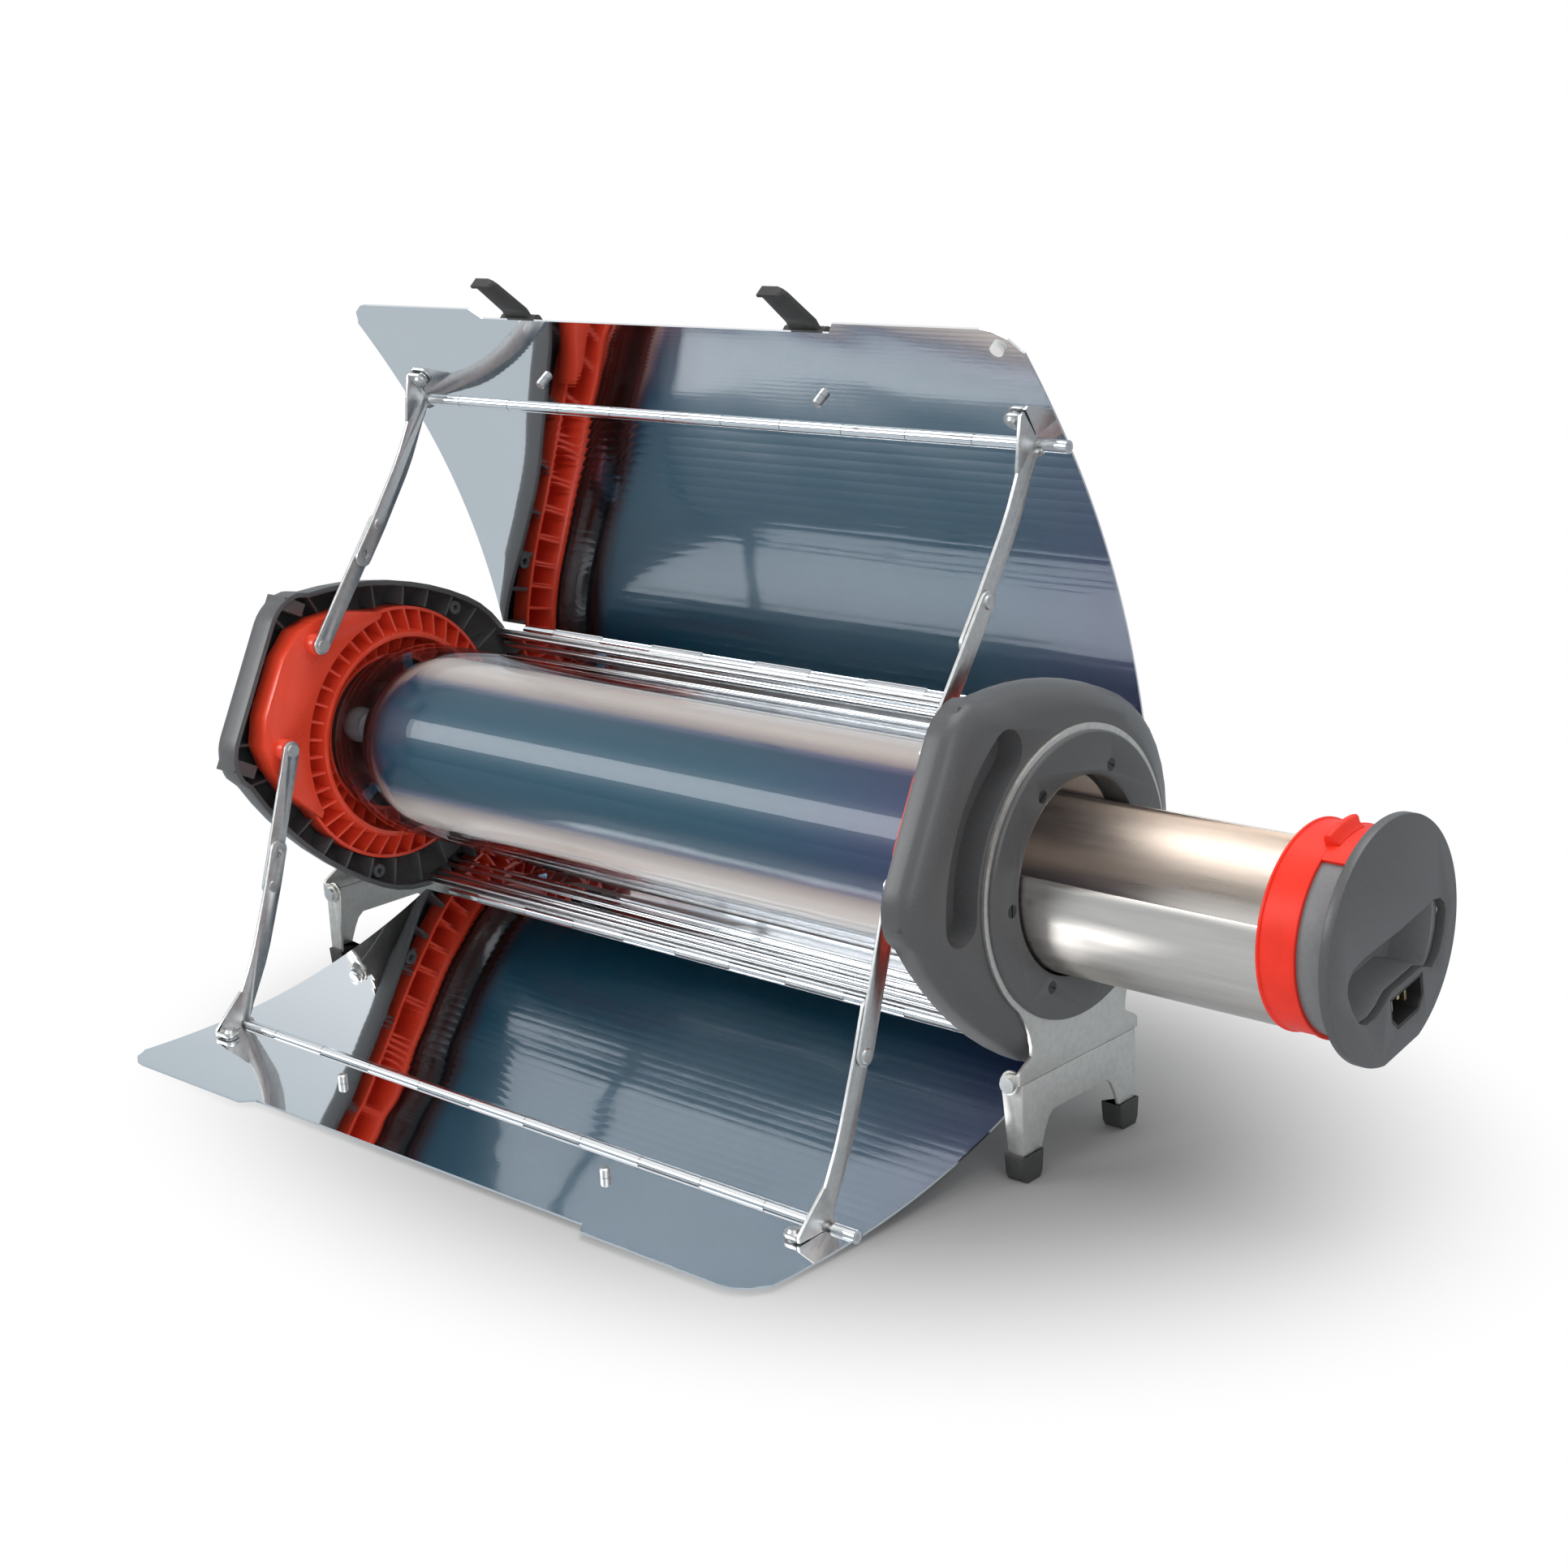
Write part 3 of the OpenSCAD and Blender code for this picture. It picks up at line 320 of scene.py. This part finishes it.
def finish(name, colour, rough, metal=0.0, vary=0.06, rough_vary=0.08, scale=60, bump=0.0,
           bump_scale=900, bump_depth=0.0002, coat=0.0, stretch=(1, 1, 1), spec=0.5,
           clear=0.0):
    """A Principled material with colour, roughness and bump varied by noise."""
    material, tree, shader = new_finish(name)
    shader.inputs["Metallic"].default_value = metal
    shader.inputs["Specular IOR Level"].default_value = spec
    shader.inputs["Coat Weight"].default_value = coat
    shader.inputs["Coat Roughness"].default_value = COAT_ROUGHNESS
    shader.inputs["Transmission Weight"].default_value = clear
    place = tree.nodes.new("ShaderNodeTexCoord")
    mapping = add_node(tree, "ShaderNodeMapping", {"Scale": stretch})
    link(tree, place, "Object", mapping, "Vector")
    noise = add_node(tree, "ShaderNodeTexNoise", {"Scale": scale, "Detail": 4})
    link(tree, mapping, 0, noise, "Vector")
    darker = [max(0, c * (1 - vary)) for c in colour]
    lighter = [min(1, c * (1 + vary)) for c in colour]
    varied = colour_ramp(tree, noise.outputs["Fac"], [(0.3, darker), (0.7, lighter)])
    tree.links.new(varied, shader.inputs["Base Color"])
    roughness = spread(tree, noise.outputs["Fac"], 0, 1, max(0.0, rough - rough_vary),
                       min(1.0, rough + rough_vary))
    tree.links.new(roughness, shader.inputs["Roughness"])
    if bump:
        grain = add_node(tree, "ShaderNodeTexNoise", {"Scale": bump_scale, "Detail": 2})
        link(tree, mapping, 0, grain, "Vector")
        bumps = add_node(tree, "ShaderNodeBump", {"Strength": bump, "Distance": bump_depth})
        link(tree, grain, "Fac", bumps, "Height")
        link(tree, bumps, "Normal", shader, "Normal")
    return material


# %% [markdown]
# The moulded parts are dark charcoal with a fine satin grain, and the tube holders a glossy
# orange red. The soft band is a duller silicone red, and the feet and latches are black
# rubber. The cap over the sealing tip is clear plastic, cloudy enough to show as a ball.

# %% Plastics and rubbers
charcoal = finish("moulded_charcoal", (0.084, 0.085, 0.088), 0.36, vary=0.10, scale=900,
                  bump=0.35, bump_scale=2200, bump_depth=0.0001)
drum_grey = finish("moulded_grey", (0.19, 0.195, 0.20), 0.45, scale=500, bump=0.2,
                   bump_scale=2200, bump_depth=0.0001)
red_gloss = finish("moulded_red", (0.80, 0.062, 0.026), 0.30, vary=0.05, scale=40, bump=0.05,
                   bump_scale=400, coat=0.25)
red_soft = finish("red_silicone", (0.84, 0.030, 0.012), 0.40, scale=80, bump=0.08,
                  bump_scale=700, spec=0.3)
rubber = finish("black_rubber", (0.036, 0.036, 0.035), 0.60, vary=0.2, scale=300, bump=0.25,
                bump_scale=1500)
white_rubber = finish("white_rubber", (0.80, 0.80, 0.78), 0.5, vary=0.04)
clear_cap = finish("clear_cap", (0.80, 0.84, 0.88), 0.12, vary=0.05, clear=0.35)

# %% [markdown]
# The metals differ in how finely they scatter light. The reflectors are near mirrors with
# the faint waves of rolled sheet. The bars are bare steel, the stand is dull light sheet,
# and the tray is warm stainless steel, brushed along its length.

# %% Metals
mirror = finish("reflector", (0.86, 0.88, 0.90), 0.035, metal=1, vary=0.01, rough_vary=0.02,
                scale=14, bump=0.22, bump_scale=7, bump_depth=0.005, stretch=(0.7, 1, 1))
hinge_metal = finish("hinge_metal", (0.80, 0.80, 0.80), 0.22, metal=1, vary=0.05, scale=200,
                     stretch=(0.1, 1, 1))
bar_steel = finish("bar_steel", (0.66, 0.66, 0.65), 0.36, metal=1, vary=0.08, scale=400,
                   bump=0.05)
stand_sheet = finish("stand_sheet", (0.70, 0.68, 0.64), 0.45, metal=1, vary=0.07, scale=300,
                     bump=0.10, bump_scale=1300)
tray_steel = finish("tray_steel", (0.88, 0.81, 0.75), 0.30, metal=1, scale=260, bump=0.06,
                    bump_scale=500, stretch=(0.06, 1, 1))
clip_metal = finish("clip_metal", (0.35, 0.50, 0.70), 0.25, metal=1)
screw_black = finish("screw_black", (0.035, 0.035, 0.036), 0.38, metal=0.3, vary=0.1)
pin_brass = finish("pin_brass", (0.75, 0.60, 0.32), 0.3, metal=1)

# %% [markdown]
# ## Glass
# The outer tube is clear and thin, so it hardly bends what is seen through it, and only
# mirrors a little, more towards its edges. A glass shader would bend each ray, and between
# the tube and the sheets the rays would run out before they reached the light. Here the
# surface is a faint mirror whose opacity rises with the fifth power of the slant, as it
# does on real glass, and the rest of the light passes straight through.

# %% Clear glass
GLASS_LEAST = 0.012
GLASS_RISE = 0.85

clear_glass, tree, shader = new_finish("clear_glass")
shader.inputs["Base Color"].default_value = (0.95, 0.97, 1.0, 1)
shader.inputs["Metallic"].default_value = 1.0
shader.inputs["Roughness"].default_value = 0.015
edge = add_node(tree, "ShaderNodeLayerWeight", {"Blend": 0.5})
rise = add_node(tree, "ShaderNodeMath", {1: 5}, operation="POWER")
link(tree, edge, "Facing", rise, 0)
share = add_node(tree, "ShaderNodeMath", {1: GLASS_RISE, 2: GLASS_LEAST},
                 operation="MULTIPLY_ADD")
link(tree, rise, 0, share, 0)
link(tree, share, 0, shader, "Alpha")
print("glass mirrors", GLASS_LEAST, "face on and", GLASS_LEAST + GLASS_RISE, "at its edge")

# %% [markdown]
# The inner tube carries the dark coating that soaks up the sun. It looks deep blue face on,
# turns purple where it is seen at a slant, and is more purple towards the mouth. Further round,
# at the slanting edges, the ramps turn pale tan: that tan is a painted reflection of the bright
# sheets. The coating stops short of the closed dome, which is painted near black there, as
# painted shade for the dark hollow seen through the bare glass. Two colour ramps on the slant
# give the change, and are mixed along the tube. Fine noise, drawn out lengthwise, breaks the
# border of the blue into streaks, and the pale edges are glossier.

# %% The coating
# Past 0.49 the ramps turn pale tan: a painted reflection of the bright sheets on the tube's
# slanting edges.
FACE_STOPS = [(0.0, (0.001, 0.066, 0.118)), (0.30, (0.001, 0.056, 0.100)),
              (0.41, (0.001, 0.044, 0.082)), (0.445, (0.080, 0.100, 0.160)),
              (0.49, (0.330, 0.285, 0.275)), (0.58, (0.600, 0.525, 0.475))]
MOUTH_STOPS = [(0.0, (0.070, 0.055, 0.160)), (0.28, (0.022, 0.028, 0.115)),
               (0.41, (0.008, 0.013, 0.085)), (0.445, (0.120, 0.085, 0.170)),
               (0.49, (0.370, 0.300, 0.290)), (0.58, (0.620, 0.530, 0.480))]
PAINTED_REFLECTION_STOPS = [(0.80, (0.80, 0.73, 0.68)), (1.0, (0.86, 0.82, 0.78))]
# The dome's near black is painted shade, for the dark hollow seen through its bare glass.
DOME_PAINTED_SHADE = (0.012, 0.014, 0.018, 1)

coating, tree, shader = new_finish("coated_glass")
place = tree.nodes.new("ShaderNodeTexCoord")
split = tree.nodes.new("ShaderNodeSeparateXYZ")
link(tree, place, "Object", split, 0)
along = split.outputs["X"]
long_way = add_node(tree, "ShaderNodeMapping", {"Scale": (0.03, 1, 1)})
link(tree, place, "Object", long_way, "Vector")
streaks = add_node(tree, "ShaderNodeTexNoise", {"Scale": 60, "Detail": 3})
link(tree, long_way, 0, streaks, "Vector")
facing = add_node(tree, "ShaderNodeLayerWeight", {"Blend": 0.5})

# %% [markdown]
# The camera sees the near end of the tube more squarely than the far end. A small amount that
# grows along the tube is added to the slant, so the blue keeps its width and the painted
# reflection at the edges keeps its place.

# %% The slant, evened out along the tube
even_x = spread(tree, along, AXIS_X - 0.3, AXIS_X + 0.3, -0.115, 0.075)
wander = spread(tree, streaks.outputs["Fac"], 0.3, 0.7, -0.012, 0.012)
even = add_node(tree, "ShaderNodeMath", operation="ADD")
tree.links.new(even_x, even.inputs[0])
link(tree, facing, "Facing", even, 1)
slanted = add_node(tree, "ShaderNodeMath", operation="ADD")
link(tree, even, 0, slanted, 0)
tree.links.new(wander, slanted.inputs[1])
slant = slanted.outputs[0]


# %% Coating colours along the tube
def blended(tree, share, first, second):
    """Mix two colours; the first may be a fixed one."""
    node = tree.nodes.new("ShaderNodeMix")
    node.data_type = "RGBA"
    tree.links.new(share, node.inputs["Factor"])
    if isinstance(first, tuple):
        node.inputs["A"].default_value = first
    else:
        tree.links.new(first, node.inputs["A"])
    tree.links.new(second, node.inputs["B"])
    return node.outputs["Result"]


to_mouth = spread(tree, along, AXIS_X + 0.06, AXIS_X + 0.26, smooth=True)
# Painted shade at the dome: the tube's colour gives way to near black there.
off_dome = spread(tree, along, AXIS_X - 0.222, AXIS_X - 0.203, smooth=True)
face_colour = colour_ramp(tree, slant, FACE_STOPS + PAINTED_REFLECTION_STOPS)
mouth_colour = colour_ramp(tree, slant, MOUTH_STOPS + PAINTED_REFLECTION_STOPS)
tube_colour = blended(tree, to_mouth, face_colour, mouth_colour)
tree.links.new(blended(tree, off_dome, DOME_PAINTED_SHADE, tube_colour), shader.inputs["Base Color"])
edge_gloss = spread(tree, slant, 0.42, 0.50, 0.38, 0.10)
tree.links.new(edge_gloss, shader.inputs["Roughness"])
print("coating stops", len(FACE_STOPS + PAINTED_REFLECTION_STOPS), len(MOUTH_STOPS + PAINTED_REFLECTION_STOPS))

# %% [markdown]
# ## Give each solid its finish
# The record names a finish slot for each solid. The solids whose shape is right keep their
# own mesh and only get the material of their slot.

# %% Finishes by part
finishes = {
    "moulded_charcoal": charcoal, "moulded_grey": drum_grey, "moulded_red": red_gloss,
    "red_silicone": red_soft, "stand_sheet": stand_sheet, "reflector": mirror,
    "hinge_metal": hinge_metal, "bar_steel": bar_steel, "tray_steel": tray_steel,
    "clear_glass": clear_glass, "coated_glass": coating, "clip_metal": clip_metal,
    "black_rubber": rubber, "clear_cap": clear_cap, "screw_black": screw_black,
    "white_rubber": white_rubber, "pin_brass": pin_brass,
}
for entry in frame["record"]["subparts"]:
    solid = nodes[entry["node"]]
    solid.data.materials.clear()
    solid.data.materials.append(finishes[entry["material_slot"]])
print("finishes", len(finishes))

# %% [markdown]
# ## Soften the moulded and bent parts
# The solids have sharp edges, while moulded plastic and bent sheet have small rounded ones
# that catch a thin line of light. For each such part a copy of its mesh is merged, its flat
# areas are joined into single faces, its sharp edges are bevelled, and the rest is shaded
# smooth. The copy then stands for the solid, on the same body and in the same slot.

# %% Helpers that round the edges of a part
BODY_OF = {node: body for body, members in frame["record"]["behaviour"]["bodies"].items()
           for node in members}
SLOT_OF = {entry["node"]: entry["material_slot"] for entry in frame["record"]["subparts"]}
MERGE_DISTANCE = 1e-6
FLAT_ANGLE = math.radians(0.3)


def add_piece(name, bm, body, slot, smooth_angle=35):
    """Turn a finished bmesh into a piece that rides on a body, sharp past the angle."""
    mesh = bpy.data.meshes.new(name)
    bm.to_mesh(mesh)
    bm.free()
    mesh.polygons.foreach_set("use_smooth", [True] * len(mesh.polygons))
    mesh.set_sharp_from_angle(angle=math.radians(smooth_angle))
    mesh.materials.append(finishes[slot])
    piece = bpy.data.objects.new(name, mesh)
    scene.collection.objects.link(piece)
    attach(piece, body)
    return piece


def merged(node):
    """A bmesh of a solid's mesh, with doubles merged and flat areas joined."""
    bm = bmesh.new()
    bm.from_mesh(nodes[node].data)
    bmesh.ops.remove_doubles(bm, verts=bm.verts, dist=MERGE_DISTANCE)
    bmesh.ops.dissolve_limit(bm, angle_limit=FLAT_ANGLE, verts=bm.verts, edges=bm.edges,
                             delimit={"NORMAL"})
    return bm


def round_edges(bm, width, angle=40):
    """Bevel the edges that bend by more than the angle, and count them."""
    sharp = [e for e in bm.edges if e.is_manifold and e.calc_face_angle(0) > math.radians(angle)]
    bmesh.ops.bevel(bm, geom=sharp, offset=width * MM, offset_type="OFFSET", affect="EDGES",
                    segments=2, profile=0.5, clamp_overlap=True, material=-1)
    return len(sharp)


def dress(node, width):
    """Replace a solid by a copy of it with rounded edges."""
    bm = merged(node)
    count = round_edges(bm, width)
    piece = add_piece(node + "_rounded", bm, BODY_OF[node], SLOT_OF[node])
    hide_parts(node)
    print(node, "edges", count, "faces", len(piece.data.polygons))


# %% [markdown]
# The width of each rounding is in millimetres. The thick rubber feet and the big caps have
# the widest, and the thin bars and the fine fins of the tube holders the smallest.

# %% Round the edges
ROUNDED = {
    "cap_mouth": 0.9, "cap_rear": 0.5, "tube_holder_left": 0.25, "tube_holder_right": 0.25,
    "mouth_ring": 0.4, "rear_cover": 0.6, "tray_plug": 0.3, "tray_handle": 0.45,
    "stand_plate_right": 0.4, "stand_plate_left": 0.4, "leg_right": 0.4, "leg_left": 0.4,
    "feet_right": 0.8, "feet_left": 0.8, "upper_link_left": 0.35, "upper_link_right": 0.35,
    "lower_link_left": 0.35, "lower_link_right": 0.35, "upper_strut_left": 0.35,
    "upper_strut_right": 0.35, "lower_strut_left": 0.35, "lower_strut_right": 0.35,
    "latch_hook_left": 0.7, "latch_hook_right": 0.7, "latch_bases": 0.5,
    "tray_trough": 0.15,
}
for node, width in ROUNDED.items():
    dress(node, width)

# %% [markdown]
# ## The silicone band on the plug
# The band is a soft sleeve with a raised rim at each edge. A tongue on top and one below
# reach back to the disc, where a thin rim follows the disc's back. The sleeve is a closed
# profile spun all the way round the tube's axis, and the tongues and the back rim are
# curved patches made by a short spin of their own.

# %% Helpers for turned shapes
def turned(points, angle=360, start=0, steps=96):
    """Spin a closed profile of (x, radius) in mm round the tube's axis.

    Angles are in degrees, 0 at the top and growing towards the front.
    """
    bm = bmesh.new()
    a = math.radians(start)
    verts = [bm.verts.new((AXIS_X + x * MM, AXIS_Y - r * MM * math.sin(a),
                           AXIS_Z + r * MM * math.cos(a))) for x, r in points]
    face = bm.faces.new(verts)
    edges = list(face.edges)
    full = angle >= 360
    if full:
        bmesh.ops.delete(bm, geom=[face], context="FACES_ONLY")
        profile = edges + verts
    else:
        profile = [face] + edges + verts
    bmesh.ops.spin(bm, geom=profile, cent=(AXIS_X, AXIS_Y, AXIS_Z), axis=(1, 0, 0),
                   angle=math.radians(angle), steps=steps, use_merge=full, use_duplicate=False)
    bmesh.ops.remove_doubles(bm, verts=bm.verts, dist=MERGE_DISTANCE)
    bmesh.ops.recalc_face_normals(bm, faces=bm.faces)
    return bm


def patch(x0, x1, low, high, middle, half, steps):
    """A curved strip from x0 to x1, low to high in radius, half the angle each way."""
    return turned([(x0, low), (x0, high), (x1, high), (x1, low)], 2 * half, middle - half, steps)


def join_into(bm, other):
    """Add another bmesh's shape to bm and free it."""
    part = bpy.data.meshes.new("part")
    other.to_mesh(part)
    other.free()
    bm.from_mesh(part)
    bpy.data.meshes.remove(part)


# %% [markdown]
# The tray turns a little in the tube, so the band's top lies that far round. Every radius
# stays under 51 mm, the bore of the inner tube and the mouth ring, because the band slides
# in with the tray.

# %% Band with rims and tongues
TRAY_TURN = 9.5
SLEEVE_LONG = 20.0
TROUGH_R = 49.65
DRUM_R = 48.72
BAND_R = 49.9
TONGUE_R = 50.5
RIM_R = 50.75
RIM = [(0, RIM_R - 0.35), (0.4, RIM_R), (1.3, RIM_R), (1.8, BAND_R)]
band_low, band_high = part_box("tray_band")
BAND_X = (band_low.x - AXIS_X) / MM
BACK_X = (band_high.x - AXIS_X) / MM

left_rim = [(BAND_X + x, r) for x, r in RIM]
right_rim = [(BAND_X + SLEEVE_LONG - x, r) for x, r in reversed(RIM)]
sleeve = turned([(BAND_X, TROUGH_R), *left_rim, *right_rim,
                 (BAND_X + SLEEVE_LONG, DRUM_R + 0.03)])
for middle in (TRAY_TURN, 180 + TRAY_TURN):
    join_into(sleeve, patch(BAND_X + SLEEVE_LONG - 1.6, BACK_X - 0.3, DRUM_R, TONGUE_R, middle,
                            half=24, steps=24))
join_into(sleeve, patch(BACK_X - 1.6, BACK_X - 0.2, DRUM_R, RIM_R, TRAY_TURN, half=55, steps=40))
band = add_piece("tray_band_sleeve", sleeve, "tray", "red_silicone", 40)
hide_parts("tray_band")
print("band from", round(BAND_X, 1), "to", round(BACK_X, 1), "faces", len(band.data.polygons))

# %% [markdown]
# The pull tab stands up from the tongue, a thumb's width across. It is soft, and lies down as
# the tray slides in; here it is a piece of its own that rides with the tray.

# %% Pull tab
TAB_HALF = 13
TAB_PROFILE = [(16.5, 50.2), (16.5, 53.4), (17.6, 55.4), (19.6, 55.8), (20.8, 55.0),
               (21.6, 52.6), (24.0, 50.8), (24.0, 50.2)]
TAB_ROUNDING = 0.5

tab = turned([(BAND_X + x, r) for x, r in TAB_PROFILE], 2 * TAB_HALF, TRAY_TURN - TAB_HALF, 14)
round_edges(tab, TAB_ROUNDING, angle=60)
pull_tab = add_piece("pull_tab", tab, "tray", "red_silicone", 50)
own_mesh(pull_tab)
print("tab faces", len(pull_tab.data.polygons))

# %% [markdown]
# ## Ridges of the hinge rails
# At the body hinges each sheet hangs on an extruded rail with long rounded ridges, which
# show as bright parallel lines over and under the tube. Each ridge is a slim rod laid
# against the fixed reflector. A row of thin cylinders was chosen over a bevelled profile,
# because each one then keeps its own clean highlight. The ridges lie on an arc round a line
# a little in front of the tube's axis, and the lower set mirrors the upper one.

# %% Rail ridges
ARC_FORWARD = 12.5
RIDGES = ((129.5, 1.5, 105.4), (133.5, 2.2, 106.2), (138.0, 1.5, 106.3), (141.0, 1.0, 106.4))
rail_low, rail_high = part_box("body_rail_upper")
RAIL_LEFT = (rail_low.x - AXIS_X) / MM
RAIL_RIGHT = (rail_high.x - AXIS_X) / MM


def long_rod(bm, s, t, radius):
    """A flat-ended rod as long as the rails, at s forward and t up."""
    place = (Matrix.Translation(spot((RAIL_LEFT + RAIL_RIGHT) / 2, s, t))
             @ Matrix.Rotation(math.radians(90), 4, "Y"))
    bmesh.ops.create_cone(bm, cap_ends=True, segments=16, radius1=radius * MM,
                          radius2=radius * MM, depth=(RAIL_RIGHT - RAIL_LEFT) * MM,
                          matrix=place)


for name, side in (("upper", 1), ("lower", -1)):
    bm = bmesh.new()
    for angle, radius, away in RIDGES:
        a = math.radians(angle)
        long_rod(bm, ARC_FORWARD + away * math.cos(a), side * away * math.sin(a), radius)
    ridges = add_piece("rail_ridges_" + name, bm, "cooker", "hinge_metal", 40)
    print(ridges.name, "faces", len(ridges.data.polygons))

# %% [markdown]
# ## The end
# The scene is brought up to date as the last step.

# %% The end
bpy.context.view_layer.update()
